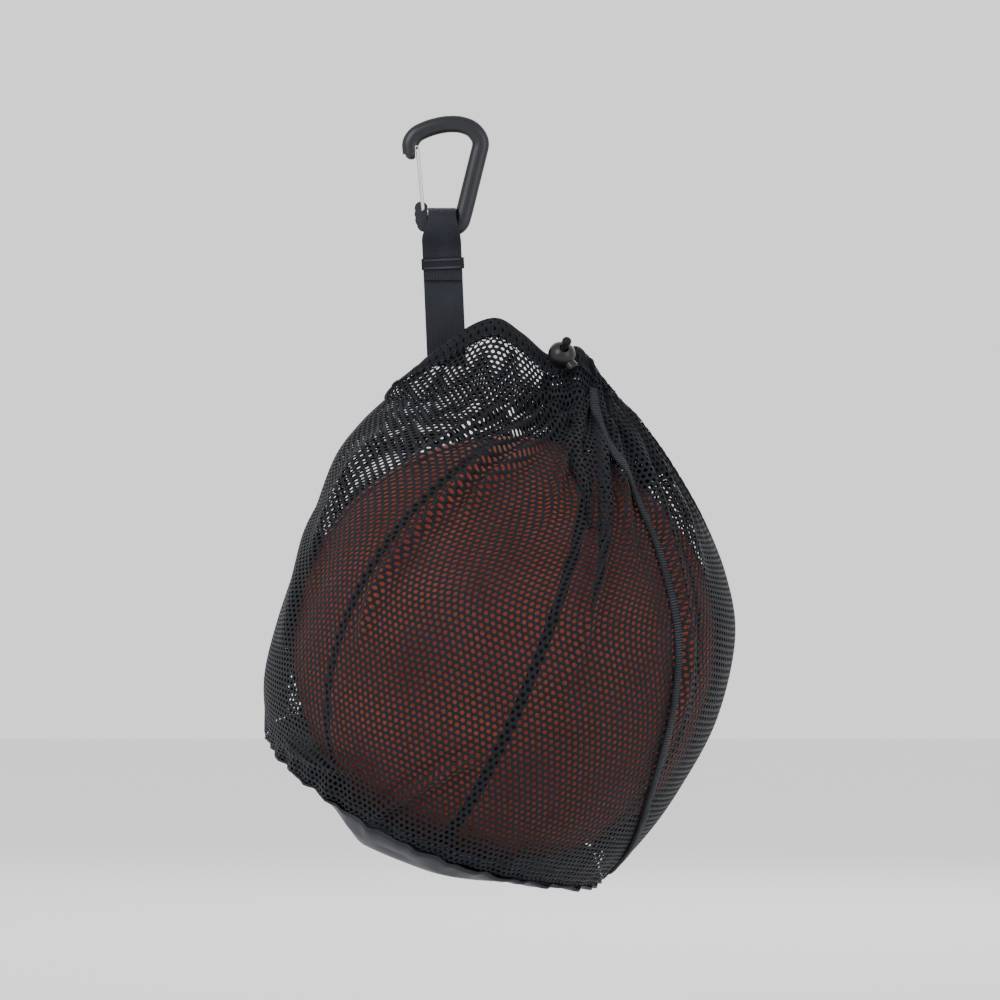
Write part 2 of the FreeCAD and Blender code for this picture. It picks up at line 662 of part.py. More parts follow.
# ---------------------------------------------------------------- ball
def buildBall():
    """Bladder, carcass, eight cover panels, and the ribs in the channels between."""
    turn = FreeCAD.Rotation(ballX, V(0, 0, 0), ballFront, "XZY")
    place = FreeCAD.Placement(ballCentre, turn)

    # Each sphere's poles and seam lie where its piece is open or plain.
    poleX = place.multiply(FreeCAD.Placement(
        V(), FreeCAD.Rotation(V(0, 1, 0), V(0, 0, 1), V(1, 0, 0), "XZY")))
    poleCrown = place.multiply(FreeCAD.Placement(
        V(), FreeCAD.Rotation(V(0, 0, 1), V(0.45, 0.3, 0.84))))

    def shell(name, radius, thick, turned=poleX):
        outer = bound("Part::Sphere", name + "Outer", turned, Radius=radius)
        inner = bound("Part::Sphere", name + "Inner", turned, Radius=radius + " - " + thick)
        return cut(name + "Shell", outer, inner)

    def ear(name, spread):
        """An oval bar through the whole ball along its own X axis."""
        local = FreeCAD.Placement(V(-150, 0, 0), FreeCAD.Rotation(V(0, 1, 0), V(0, 0, 1),
                                                                 V(1, 0, 0), "ZXY"))
        oval = bound("Part::Ellipse", name + "Oval", place.multiply(local),
                     MajorRadius="Sizes.earLong + " + spread,
                     MinorRadius="Sizes.earShort + " + spread)
        bar = doc.addObject("Part::Extrusion", name)
        bar.Base = oval
        bar.DirMode = "Custom"
        bar.Dir = turn.multVec(V(1, 0, 0))
        bar.LengthFwd = 300.0
        bar.Solid = True
        return bar

    def block(name, low, spans):
        local = FreeCAD.Placement(V(*low), turnless)
        return bound("Part::Box", name, place.multiply(local), **spans)

    half = "Sizes.channelWide / 2"
    skin = "Sizes.ballRadius - Sizes.panelThick"
    far = 150.0
    c = size("channelWide") / 2

    hole = bound("Part::Cylinder", "ValveHole", place.multiply(along(V(100, 0, 0), V(1, 0, 0))),
                 Radius="Sizes.valveRadius + Sizes.plyGap", Height="40")
    carcass = shell("Carcass", skin + " - Sizes.plyGap", "Sizes.carcassThick")
    node(cut("BallCarcass", carcass, hole), "ball_carcass")
    node(shell("Bladder", skin + " - Sizes.carcassThick - 2 * Sizes.plyGap",
               "Sizes.bladderThick"), "ball_bladder")
    valveFoot = size("ballRadius") - size("panelThick") - size("carcassThick")
    valve = bound("Part::Cylinder", "Valve", place.multiply(along(V(valveFoot, 0, 0), V(1, 0, 0))),
                  Radius="Sizes.valveRadius", Height="Sizes.carcassThick + Sizes.channelRise")
    node(valve, "ball_valve")

    plate = {"Length": "2 * %s" % far, "Width": "2 * %s" % far, "Height": "2 * %s" % far}
    slabs = [
        block("ChannelX", (-c, -far, -far), dict(plate, Length="Sizes.channelWide")),
        block("ChannelZ", (-far, -far, -c), dict(plate, Height="Sizes.channelWide")),
        cut("EarChannel", ear("EarWide", half), ear("EarNarrow", "0 - " + half)),
    ]
    floor = shell("Channel", skin + " + Sizes.channelRise", "Sizes.channelRise", poleCrown)
    ribs = common("ChannelRibs", [floor, fuse("ChannelPlan", slabs)])
    spare = bound("Part::Cylinder", "RibHole", place.multiply(along(V(100, 0, 0), V(1, 0, 0))),
                  Radius="Sizes.valveRadius + Sizes.plyGap", Height="40")
    node(cut("BallRibs", ribs, spare), "ball_seam_ribs")

    names = iter(["crown_front_right", "crown_rear_right", "crown_front_left", "crown_rear_left",
                  "ear_front_right", "ear_rear_right", "ear_front_left", "ear_rear_left"])
    for kind in ("crown", "ear"):
        for i, sideX in enumerate((c, -far - c)):
            for j, sideZ in enumerate((c, -far - c)):
                tag = "%s%d%d" % (kind, i, j)
                corner = block("Quarter" + tag, (sideX, -far, sideZ),
                               {"Length": str(far), "Width": "2 * %s" % far, "Height": str(far)})
                cover = shell("Cover" + tag, "Sizes.ballRadius", "Sizes.panelThick")
                if kind == "crown":
                    piece = cut("Panel" + tag, common("Part" + tag, [cover, corner]),
                                ear("Oval" + tag, half))
                else:
                    piece = common("Panel" + tag, [cover, corner, ear("Oval" + tag, "0 - " + half)])
                node(piece, "ball_panel_" + next(names))


turnless = FreeCAD.Rotation()
strapTurn = FreeCAD.Rotation(V(0, 1, 0), -2.55)

for build in (buildCarabiner, buildGate, buildStrap, buildStrapFold, buildStrapTab, buildNet,
              buildNetSeam, buildBase, buildBaseSeam, buildHem, buildHemStitches, buildCord,
              buildKnot, buildLock, buildBall):
    build()
doc.recompute()

for obj in doc.Objects:
    if "Invalid" in obj.State or "Error" in obj.State:
        raise ValueError("%s failed: %s" % (obj.Name, obj.State))
os.makedirs("parts", exist_ok=True)
for obj in nodes:
    shape = obj.Shape
    if shape.isNull() or not shape.isValid():
        raise ValueError("bad shape: " + obj.Label)
    shape.exportStep("parts/%s.step" % obj.Label)
print("pieces written:", len(nodes))
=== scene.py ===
import bpy
import json
import math
import numpy as np
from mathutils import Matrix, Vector

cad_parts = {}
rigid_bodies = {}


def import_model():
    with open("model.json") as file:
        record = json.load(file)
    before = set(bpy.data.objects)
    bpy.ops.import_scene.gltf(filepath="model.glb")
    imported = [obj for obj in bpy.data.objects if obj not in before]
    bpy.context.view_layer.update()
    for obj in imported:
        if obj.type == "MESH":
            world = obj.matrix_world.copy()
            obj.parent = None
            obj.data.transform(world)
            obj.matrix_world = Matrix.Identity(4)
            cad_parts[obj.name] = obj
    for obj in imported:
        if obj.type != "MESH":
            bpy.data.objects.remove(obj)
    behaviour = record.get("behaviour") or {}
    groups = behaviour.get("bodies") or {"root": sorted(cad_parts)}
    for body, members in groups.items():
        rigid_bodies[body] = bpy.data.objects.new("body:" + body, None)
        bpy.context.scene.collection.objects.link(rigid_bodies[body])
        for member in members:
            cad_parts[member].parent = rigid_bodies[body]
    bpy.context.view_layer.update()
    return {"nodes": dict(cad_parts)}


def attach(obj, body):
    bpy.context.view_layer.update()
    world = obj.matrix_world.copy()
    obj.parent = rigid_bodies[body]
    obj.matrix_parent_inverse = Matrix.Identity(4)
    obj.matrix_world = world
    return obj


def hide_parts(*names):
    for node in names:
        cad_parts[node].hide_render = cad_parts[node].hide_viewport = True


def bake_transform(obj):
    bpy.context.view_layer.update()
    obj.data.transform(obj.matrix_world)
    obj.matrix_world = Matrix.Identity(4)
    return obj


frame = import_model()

# metres, z up, y towards the rear; the hang point is the origin
mm = 0.001

view = {
    "middle": (0.0270, -0.2063),        # what the middle of the view looks at, x and z
    "width": 0.562,                     # width of the view at the bag
    "distance": 4.5,
    "floor": -0.520,
}

bag = {
    # level, left edge xz, right edge xz, half depth, middle y
    "levels": [
        (0.00, (-102.6, -334.4), (83.3, -421.5), 102.6, 21.7),
        (0.09, (-105.0, -321.0), (107.0, -398.0), 112.0, 15.0),
        (0.20, (-105.0, -302.0), (129.0, -367.0), 120.5, 9.0),
        (0.33, (-98.5, -275.0), (149.0, -329.0), 123.8, 4.0),
        (0.47, (-87.0, -241.0), (159.0, -284.0), 123.6, 0.0),
        (0.60, (-76.0, -209.0), (154.0, -249.0), 112.0, -2.0),
        (0.72, (-65.0, -181.0), (141.0, -218.0), 91.0, -4.0),
        (0.82, (-51.0, -163.0), (121.0, -186.0), 63.0, -7.0),
        (0.90, (-37.0, -150.0), (101.0, -160.0), 33.0, -10.0),
    ],
    "hemTop": [(-24.0, -136.5), (-13.6, -126.3), (7.4, -110.2), (25.1, -104.1), (40.0, -113.0),
               (56.0, -125.5), (70.3, -119.5), (79.0, -132.0), (84.5, -147.0)],
    "hemTall": 12.0,
    "hemLevel": 0.945,
    "hemY": -12.0,
    "hemHalf": 9.6,
    "hemEnd": 0.22,                     # the band turns down the sides within this share of each end
    "leanUntil": 0.45,
    "gatherFrom": 0.42,                 # level where the cloth starts to draw to the right
    "gatherPower": 1.15,
    "pleats": (31, 47),
    "pleatHeight": 2.6,
    "pleatFrom": 0.62,
}

# long folds of the slack cloth: points (x, z), side (-1 front, 1 rear), half width, height
folds = [
    ([(73, -150), (69, -163), (67, -178), (72, -194), (74, -212)], -1, 2.9, 2.0),
    ([(80, -151), (82, -172), (84, -200), (84, -236), (74, -282), (56, -322)], -1, 2.6, 4.0),
    ([(86, -155), (91, -180), (97, -214), (101, -250)], -1, 2.4, 5.0),
    ([(91, -156), (103, -178), (114, -208), (124, -246), (131, -290), (128, -330)], -1, 2.7, 6.0),
    ([(96, -158), (112, -184), (128, -214), (141, -252)], -1, 2.5, 5.0),
    ([(72, -148), (56, -149), (32, -156), (6, -168), (-26, -188)], -1, 2.6, 7.0),
    ([(70, -150), (50, -158), (33, -170), (14, -188), (-12, -216), (-40, -252), (-52, -290)], -1, 2.6, 6.5),
    ([(71, -154), (54, -168), (38, -182), (20, -196), (4, -216)], -1, 2.6, 6.0),
    ([(66, -170), (60, -196), (52, -224)], -1, 2.6, 3.4),
    ([(-38, -378), (-20, -366), (5, -352), (20, -348)], -1, 2.8, 5.0),
    ([(-92, -342), (-70, -352), (-44, -356)], -1, 2.8, 4.0),
    ([(-78, -214), (-84, -248), (-94, -290)], -1, 4.0, 4.0),
    ([(-40, -170), (-56, -190), (-72, -224), (-80, -262)], -1, 3.2, 4.2),
    ([(70, -147), (48, -158), (20, -184), (-8, -226)], 1, 2.7, 7.0),
    ([(76, -150), (70, -180), (58, -222), (40, -270)], 1, 2.7, 7.5),
    ([(82, -152), (90, -188), (98, -236), (96, -290)], 1, 2.7, 7.0),
    ([(90, -156), (108, -190), (124, -236), (132, -290)], 1, 2.6, 6.0),
    ([(64, -146), (30, -156), (-8, -176), (-44, -204)], 1, 2.6, 6.5),
    ([(40, -372), (10, -352), (-30, -334)], 1, 3.0, 4.0),
]

net = {
    "columns": 200,
    "rows": 92,
    "gores": 5,
    "hole": 0.60,                       # hole's corner distance against the cell's
    "thick": 0.00042,
    "topLevel": 0.948,
    "round": 0.76,                      # flat cut of the tube: round the bag and up it
    "tall": 0.310,
    "solid": 0.72,                      # yarn's share of the cut, the rest is holes
}


def smooth(value, low, high):
    k = np.clip((value - low) / (high - low), 0.0, 1.0)
    return k * k * (3 - 2 * k)


def threaded(points, steps=24):
    # dense points of a smooth line through the given ones
    points = np.array(points, float)
    tangents = np.gradient(points, axis=0)
    rows = []
    for a, b, ta, tb in zip(points, points[1:], tangents, tangents[1:]):
        for k in np.arange(steps) / steps:
            rows.append(a + k * (ta + k * (3 * (b - a) - 2 * ta - tb + k * (2 * (a - b) + ta + tb))))
    return np.array(rows + [points[-1]])


hemDense = threaded(bag["hemTop"])
hemReach = np.concatenate([[0], np.cumsum(np.linalg.norm(np.diff(hemDense, axis=0), axis=1))])
hemReach /= hemReach[-1]
levelRows = np.array([(k[0], *k[1], *k[2], k[3], k[4]) for k in bag["levels"]])
levelDense = threaded(levelRows)


def blendLevels(level):
    return [np.interp(level, levelDense[:, 0], levelDense[:, c]) for c in range(1, 7)]


def clothTurn(around, level):
    # the cloth's own share round the bag, to the angle where it lies: it crowds to the gather
    turn = (around + 0.5) % 1.0 - 0.5
    power = 1 + bag["gatherPower"] * smooth(level, bag["gatherFrom"], bag["hemLevel"])
    return 2 * np.pi * np.sign(turn) * 0.5 * (2 * np.abs(turn)) ** power


def bareBag(turn, level, inset=0.0):
    # the bag's plain outer face, in millimetres
    c, s = np.cos(turn), np.sin(turn)
    neck = bag["levels"][-1][0]
    lx, lz, rx, rz, depth, middle = blendLevels(np.minimum(level, neck))
    a = np.stack([lx, middle, lz], axis=-1)
    b = np.stack([rx, middle, rz], axis=-1)
    half = (b - a) / 2
    wide = np.linalg.norm(half, axis=-1)
    lean = np.maximum(0.0, 1 - level / bag["leanUntil"])
    rear = np.stack([0.0922 * lean, 1 - 0.0241 * lean, 0.1977 * lean], axis=-1)
    rear /= np.linalg.norm(rear, axis=-1, keepdims=True)
    low = (a + b) / 2 + half * (c * (wide - inset) / wide)[..., None]
    low = low + rear * (s * (depth - inset))[..., None]
    share = 0.5 + 0.5 * c * (1 - inset / 60)
    drop = bag["hemTall"] * np.maximum(0.0, 1 - level) / (1 - bag["hemLevel"])
    leftEnd = 1 - smooth(share, 0.0, bag["hemEnd"])
    rightEnd = smooth(share, 1 - bag["hemEnd"], 1.0)
    x = np.interp(share, hemReach, hemDense[:, 0]) + drop * (0.7 * rightEnd - 0.8 * leftEnd)
    z = np.interp(share, hemReach, hemDense[:, 1]) - drop * (1 - 0.4 * rightEnd - 0.4 * leftEnd)
    y = bag["hemY"] + np.sign(s) * np.abs(s) ** 0.6 * (bag["hemHalf"] - inset)
    top = np.stack([x, y, z], axis=-1)
    k = smooth(level, neck, bag["hemLevel"])[..., None]
    return low * (1 - k) + top * k


def away(turn, level):
    # outward directions of the plain bag
    step = 0.004
    up = bareBag(turn, level + step) - bareBag(turn, level - step)
    side = bareBag(turn + step, level) - bareBag(turn - step, level)
    out = np.cross(side, up)
    return out / np.maximum(np.linalg.norm(out, axis=-1, keepdims=True), 1e-9)


def evenLevels():
    # levels at even steps of length up the cloth, for each place round it
    around, level = np.meshgrid(np.linspace(-0.5, 0.5, 181), np.linspace(0.002, 1.0, 300))
    spots = bareBag(clothTurn(around, level), level)
    reach = np.cumsum(np.linalg.norm(np.diff(spots, axis=0), axis=-1), axis=0)
    return around[0], level[:, 0], np.vstack([np.zeros((1, around.shape[1])), reach])


aroundSteps, levelSteps, reachUp = evenLevels()


def levelAt(around, share, topLevel):
    # the level at a share of the way up the cloth, from the base to topLevel
    folded = (np.asarray(around) + 0.5) % 1.0 - 0.5
    columns = np.empty((len(aroundSteps),) + (len(share),))
    for k in range(len(aroundSteps)):
        top = np.interp(topLevel, levelSteps, reachUp[:, k])
        columns[k] = np.interp(share * top, reachUp[:, k], levelSteps)
    return np.stack([np.interp(folded, aroundSteps, columns[:, j]) for j in range(len(share))])


def lineDistance(x, z, points):
    # distance to a line seen from the front, and how far along it the nearest point is
    line = threaded(points, 8)
    best = np.full(x.shape, 1e9)
    share = np.zeros(x.shape)
    for k, (a, b) in enumerate(zip(line, line[1:])):
        run = b - a
        t = np.clip(((x - a[0]) * run[0] + (z - a[1]) * run[1]) / (run @ run), 0, 1)
        far = np.hypot(x - a[0] - t * run[0], z - a[1] - t * run[1])
        share = np.where(far < best, (k + t) / (len(line) - 1), share)
        best = np.minimum(best, far)
    return best, share


def rimLift(turn):
    # the lower right of the rim is drawn up a little, in millimetres
    near = (turn + np.pi) % (2 * np.pi) - np.pi
    return 4.5 * np.exp(-((near + 0.65) / 0.55) ** 2)


def bagSpots(around, level, lift=0.0, inset=0.0):
    # points of the finished cloth in metres, with its pleats and folds
    around, level = np.broadcast_arrays(np.asarray(around, float), np.asarray(level, float))
    turn = clothTurn(around, level)
    plain = bareBag(turn, level, inset)
    out = away(turn, level)
    near = 0.25 + 0.75 * np.exp(-(turn / 1.5) ** 2)
    first, second = bag["pleats"]
    wave = 0.6 * np.sin(2 * np.pi * first * around + 0.7) + 0.4 * np.sin(2 * np.pi * second * around)
    rise = bag["pleatHeight"] * near * smooth(level, bag["pleatFrom"], bag["hemLevel"])
    offset = rise * (wave + 0.35)
    pucker = 0.9 * np.sin(2 * np.pi * 40 * around) + 0.6 * np.sin(2 * np.pi * 23 * around + 1)
    calm = 1 - 0.18 * rimLift(turn)
    offset = offset + (1 - smooth(level, 0.0, 0.11)) * (pucker + 0.9) * calm
    plain = plain + np.array([0, 0, 1.0]) * (rimLift(turn) * (1 - smooth(level, 0.0, 0.16)))[..., None]
    x, y, z = plain[..., 0], plain[..., 1], plain[..., 2]
    middle = blendLevels(np.minimum(level, 0.9))[5]
    for points, side, wide, tall in folds:
        far, share = lineDistance(x, z, points)
        taper = np.sin(np.pi * np.clip(share * 0.93 + 0.07, 0, 1)) ** 0.6
        mine = smooth(side * (y - middle), -2, 12)
        ridge = np.exp(-(far / wide) ** 2) - 0.22 * np.exp(-((far - 2.1 * wide) / wide) ** 2)
        offset = offset + tall * taper * mine * ridge
    offset = np.maximum(offset, -0.9)
    return (plain + out * (offset + lift)[..., None]) * mm


def surfaceFrame(around, level, lift=0.0):
    # points lifted off the cloth, with the ways up it, round it and outwards
    step = 0.0015
    spot = bagSpots(around, level)
    up = bagSpots(around, np.asarray(level) + step) - bagSpots(around, np.asarray(level) - step)
    side = bagSpots(np.asarray(around) + step, level) - bagSpots(np.asarray(around) - step, level)
    out = np.cross(side, up)
    unit = [v / np.maximum(np.linalg.norm(v, axis=-1, keepdims=True), 1e-12) for v in (up, side, out)]
    return spot + unit[2] * lift * mm, unit[0], unit[1], unit[2]


# ---- materials

def principled(name, color, roughness, **sockets):
    mat = bpy.data.materials.new(name)
    mat.use_nodes = True
    bsdf = mat.node_tree.nodes["Principled BSDF"]
    bsdf.inputs["Base Color"].default_value = (*color, 1)
    bsdf.inputs["Roughness"].default_value = roughness
    for key, value in sockets.items():
        bsdf.inputs[key.replace("_", " ")].default_value = value
    return mat, mat.node_tree, bsdf


def linear(red, green, blue):
    # a screen colour of 0 to 255 in linear light
    return tuple((k / 255 / 12.92) if k < 11 else ((k / 255 + 0.055) / 1.055) ** 2.4
                 for k in (red, green, blue))


def nodeOf(tree, kind, **values):
    item = tree.nodes.new(kind)
    for key, value in values.items():
        if hasattr(item, key):
            setattr(item, key, value)
        else:
            item.inputs[key.replace("_", " ")].default_value = value
    return item


def mottled(tree, bsdf, colors, scale, detail=3.0):
    # soft changes of colour from one noise
    coords = nodeOf(tree, "ShaderNodeTexCoord")
    noise = nodeOf(tree, "ShaderNodeTexNoise", Scale=scale, Detail=detail)
    ramp = nodeOf(tree, "ShaderNodeValToRGB")
    ramp.color_ramp.elements[0].position = 0.3
    ramp.color_ramp.elements[1].position = 0.7
    ramp.color_ramp.elements[0].color = (*colors[0], 1)
    ramp.color_ramp.elements[1].color = (*colors[1], 1)
    tree.links.new(coords.outputs["Object"], noise.inputs["Vector"])
    tree.links.new(noise.outputs["Fac"], ramp.inputs["Fac"])
    tree.links.new(ramp.outputs["Color"], bsdf.inputs["Base Color"])
    return coords, noise


def bumped(tree, bsdf, height, strength, distance):
    bump = nodeOf(tree, "ShaderNodeBump", Strength=strength, Distance=distance)
    tree.links.new(height, bump.inputs["Height"])
    tree.links.new(bump.outputs["Normal"], bsdf.inputs["Normal"])
    return bump


def roughened(tree, bsdf, value, low, high):
    spread = nodeOf(tree, "ShaderNodeMapRange")
    spread.inputs["To Min"].default_value = low
    spread.inputs["To Max"].default_value = high
    tree.links.new(value, spread.inputs["Value"])
    tree.links.new(spread.outputs["Result"], bsdf.inputs["Roughness"])


def yarnMaterial(name, dark, light, grain=2600.0):
    # knitted or woven yarn: fine threads in the bump, slow changes of shade
    mat, tree, bsdf = principled(name, dark, 0.7, Sheen_Weight=0.02, Specular_IOR_Level=0.16)
    coords, noise = mottled(tree, bsdf, (dark, light), 55.0)
    fine = nodeOf(tree, "ShaderNodeTexNoise", Scale=grain, Detail=2.0)
    tree.links.new(coords.outputs["Object"], fine.inputs["Vector"])
    bumped(tree, bsdf, fine.outputs["Fac"], 0.5, 0.00015)
    roughened(tree, bsdf, noise.outputs["Fac"], 0.5, 0.75)
    return mat


def webMaterial():
    # ribbed webbing: the weave follows the strap's own map
    mat, tree, bsdf = principled("ribbedWebbing", linear(30, 33, 43), 0.6,
                                 Sheen_Weight=0.03, Specular_IOR_Level=0.2)
    coords, noise = mottled(tree, bsdf, (linear(15, 17, 23), linear(26, 29, 38)), 60.0)
    weave = nodeOf(tree, "ShaderNodeTexWave", Scale=300.0, Distortion=0.8, Detail=1.0)
    weave.bands_direction = "Y"
    tree.links.new(coords.outputs["UV"], weave.inputs["Vector"])
    bumped(tree, bsdf, weave.outputs["Fac"], 0.4, 0.0002)
    roughened(tree, bsdf, noise.outputs["Fac"], 0.52, 0.72)
    return mat


def metalMaterial(name, dark, light, metallic, roughness, scale):
    mat, tree, bsdf = principled(name, dark, roughness, Metallic=metallic)
    coords = mottled(tree, bsdf, (dark, light), scale)[0]
    fine = nodeOf(tree, "ShaderNodeTexNoise", Scale=scale * 24, Detail=3.0)
    tree.links.new(coords.outputs["Object"], fine.inputs["Vector"])
    bumped(tree, bsdf, fine.outputs["Fac"], 0.10, 0.0001)
    roughened(tree, bsdf, fine.outputs["Fac"], roughness - 0.06, roughness + 0.08)
    return mat


def glossMaterial():
    mat, tree, bsdf = principled("lockGloss", linear(9, 9, 11), 0.3, Specular_IOR_Level=0.32)
    coords = mottled(tree, bsdf, (linear(7, 7, 9), linear(14, 14, 17)), 90.0)[0]
    fine = nodeOf(tree, "ShaderNodeTexNoise", Scale=700.0, Detail=3.0)
    tree.links.new(coords.outputs["Object"], fine.inputs["Vector"])
    roughened(tree, bsdf, fine.outputs["Fac"], 0.26, 0.42)
    bumped(tree, bsdf, fine.outputs["Fac"], 0.04, 0.0001)
    return mat


def coverMaterial():
    # pebbled rubber of the ball
    mat, tree, bsdf = principled("ballPebble", linear(160, 68, 48), 0.5, Specular_IOR_Level=0.3)
    coords, noise = mottled(tree, bsdf, (linear(146, 58, 42), linear(182, 86, 60)), 26.0)
    pebble = nodeOf(tree, "ShaderNodeTexVoronoi", Scale=620.0)
    pebble.feature = "SMOOTH_F1"
    tree.links.new(coords.outputs["Object"], pebble.inputs["Vector"])
    bumped(tree, bsdf, pebble.outputs["Distance"], 0.7, 0.0006).invert = True
    roughened(tree, bsdf, noise.outputs["Fac"], 0.42, 0.6)
    return mat


def clothMaterial():
    # coated cloth of the base: smooth, matt, with a faint plain weave
    mat, tree, bsdf = principled("coatedCloth", linear(24, 28, 36), 0.6, Specular_IOR_Level=0.25)
    coords, noise = mottled(tree, bsdf, (linear(17, 21, 28), linear(27, 32, 41)), 16.0)
    weave = nodeOf(tree, "ShaderNodeTexNoise", Scale=900.0, Detail=2.0)
    tree.links.new(coords.outputs["Object"], weave.inputs["Vector"])
    bumped(tree, bsdf, weave.outputs["Fac"], 0.16, 0.0003)
    roughened(tree, bsdf, noise.outputs["Fac"], 0.45, 0.62)
    return mat


mats = {
    "net": yarnMaterial("netYarn", linear(9, 10, 15), linear(16, 18, 27)),
    "hem": yarnMaterial("hemYarn", linear(8, 9, 14), linear(15, 17, 25)),
    "tape": yarnMaterial("tapeYarn", linear(11, 12, 16), linear(18, 20, 27), 3400.0),
    "ribThread": yarnMaterial("seamThread", linear(34, 38, 42), linear(52, 57, 62), 4200.0),
    "thread": yarnMaterial("sewingThread", linear(30, 33, 41), linear(46, 50, 62), 4200.0),
    "cord": yarnMaterial("cordBraid", linear(9, 9, 12), linear(18, 19, 23), 3000.0),
    "web": webMaterial(),
    "cloth": clothMaterial(),
    "frame": metalMaterial("slateAnodised", linear(20, 22, 26), linear(30, 32, 37), 0.45, 0.36, 40.0),
    "wire": metalMaterial("gateWire", linear(176, 176, 172), linear(190, 189, 184), 1.0, 0.3, 20.0),
    "gloss": glossMaterial(),
    "cover": coverMaterial(),
    "rib": yarnMaterial("channelRubber", linear(20, 19, 20), linear(30, 28, 28), 900.0),
}
print("materials made:", len(mats))


# ---- shared mesh helpers

def pieceFrom(name, verts, faces, mat, uv=None, smoothFaces=True):
    mesh = bpy.data.meshes.new(name)
    mesh.from_pydata([tuple(v) for v in verts], [], [tuple(f) for f in faces])
    mesh.materials.append(mat)
    if uv is not None:
        layer = mesh.uv_layers.new(name="flat")
        corners = np.zeros(len(mesh.loops), np.int32)
        mesh.loops.foreach_get("vertex_index", corners)
        layer.data.foreach_set("uv", np.asarray(uv, np.float32)[corners].ravel())
    mesh.polygons.foreach_set("use_smooth", [smoothFaces] * len(mesh.polygons))
    mesh.update()
    obj = bpy.data.objects.new(name, mesh)
    bpy.context.scene.collection.objects.link(obj)
    return obj


def gridFaces(columns, rows, wrap=False):
    faces = []
    for j in range(rows - 1):
        for i in range(columns if wrap else columns - 1):
            k = (i + 1) % columns
            faces.append((j * columns + i, j * columns + k, (j + 1) * columns + k, (j + 1) * columns + i))
    return faces


def baked(obj, name, mat):
    # the evaluated object as a plain mesh of its own
    graph = bpy.context.evaluated_depsgraph_get()
    mesh = bpy.data.meshes.new_from_object(obj.evaluated_get(graph))
    mesh.materials.clear()
    mesh.materials.append(mat)
    mesh.name = name
    mesh.polygons.foreach_set("use_smooth", [True] * len(mesh.polygons))
    made = bpy.data.objects.new(name, mesh)
    bpy.context.scene.collection.objects.link(made)
    bpy.data.objects.remove(obj)
    return made


class Tree:
    # a small wrapper that keeps a geometry tree readable
    def __init__(self, name, inputs):
        self.group = bpy.data.node_groups.new(name, "GeometryNodeTree")
        self.group.interface.new_socket("Geometry", in_out="INPUT", socket_type="NodeSocketGeometry")
        self.ids = {}
        for label, (kind, value) in inputs.items():
            socket = self.group.interface.new_socket(label, in_out="INPUT", socket_type=kind)
            if value is not None:
                socket.default_value = value
            self.ids[label] = socket.identifier
        self.group.interface.new_socket("Geometry", in_out="OUTPUT", socket_type="NodeSocketGeometry")
        self.given = self.group.nodes.new("NodeGroupInput")
        self.result = self.group.nodes.new("NodeGroupOutput")

    def add(self, kind, links=None, **values):
        item = self.group.nodes.new(kind)
        for key, value in values.items():
            setattr(item, key, value)
        for key, source in (links or {}).items():
            socket = item.inputs[key]
            if isinstance(source, bpy.types.NodeSocket):
                self.group.links.new(source, socket)
            else:
                socket.default_value = source
        return item

    def math(self, operation, a, b=0.0):
        return self.add("ShaderNodeMath", {0: a, 1: b}, operation=operation).outputs[0]

    def finish(self, geometry, material):
        painted = self.add("GeometryNodeSetMaterial", {"Geometry": geometry, "Material": material})
        self.group.links.new(painted.outputs[0], self.result.inputs[0])

    def apply(self, obj, **values):
        modifier = obj.modifiers.new(self.group.name, "NODES")
        modifier.node_group = self.group
        for label, value in values.items():
            modifier[self.ids[label]] = value
        return modifier


def emptyPiece(name):
    mesh = bpy.data.meshes.new(name)
    obj = bpy.data.objects.new(name, mesh)
    bpy.context.scene.collection.objects.link(obj)
    return obj


# ---- the net

def netCell(hole):
    # one cell of the knit: a hexagon with a hexagonal hole, its corners shared with the next
    wide, tall = 0.5, 2.0 / 3.0
    ring = [(0, tall), (-wide, tall / 2), (-wide, -tall / 2), (0, -tall), (wide, -tall / 2), (wide, tall / 2)]
    verts = [(x, y, 0) for x, y in ring] + [(x * hole, y * hole * 0.92, 0) for x, y in ring]
    faces = [(k, (k + 1) % 6, 6 + (k + 1) % 6, 6 + k) for k in range(6)]
    cell = pieceFrom("netCell", verts, faces, mats["net"])
    return cell


